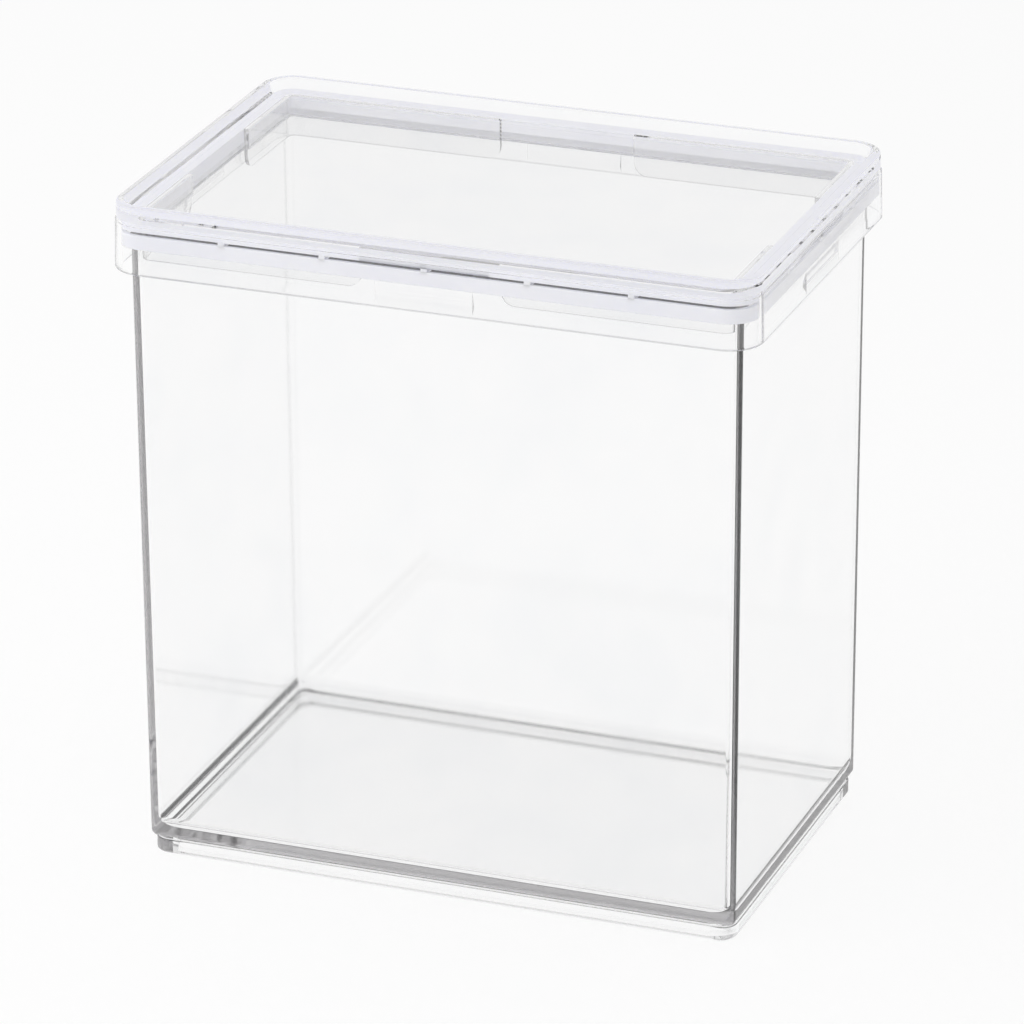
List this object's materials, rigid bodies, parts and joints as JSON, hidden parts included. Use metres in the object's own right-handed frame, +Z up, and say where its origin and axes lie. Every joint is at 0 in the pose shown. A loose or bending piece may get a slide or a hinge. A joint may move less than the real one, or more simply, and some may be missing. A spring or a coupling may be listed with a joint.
{
  "type": "storage container",
  "caption": "Clear rectangular kitchen storage container with a foot ring, a rim flange and a push-on clear lid sealed by a white gasket ring; lids have a recess for stacking.",
  "frame": {"origin": "on the table plane, under the middle of the foot ring", "axes": "+X across the wide front, to the right as seen from the front; +Y from front to back; +Z up"},
  "size_m": [0.186, 0.121, 0.195],
  "materials": {
    "clear_body": "polished clear moulding",
    "clear_lid": "polished clear moulding",
    "gasket": "satin translucent white silicone"
  },
  "bodies": {
    "container": {"container_body": "clear_body"},
    "lid": {"lid": "clear_lid", "lid_gasket": "gasket"}
  },
  "joints": [
    {"name": "lid_lift", "type": "slide", "parent": "container", "child": "lid", "axis": [0, 0, 1], "range_m": [0, 0.14]}
  ]
}
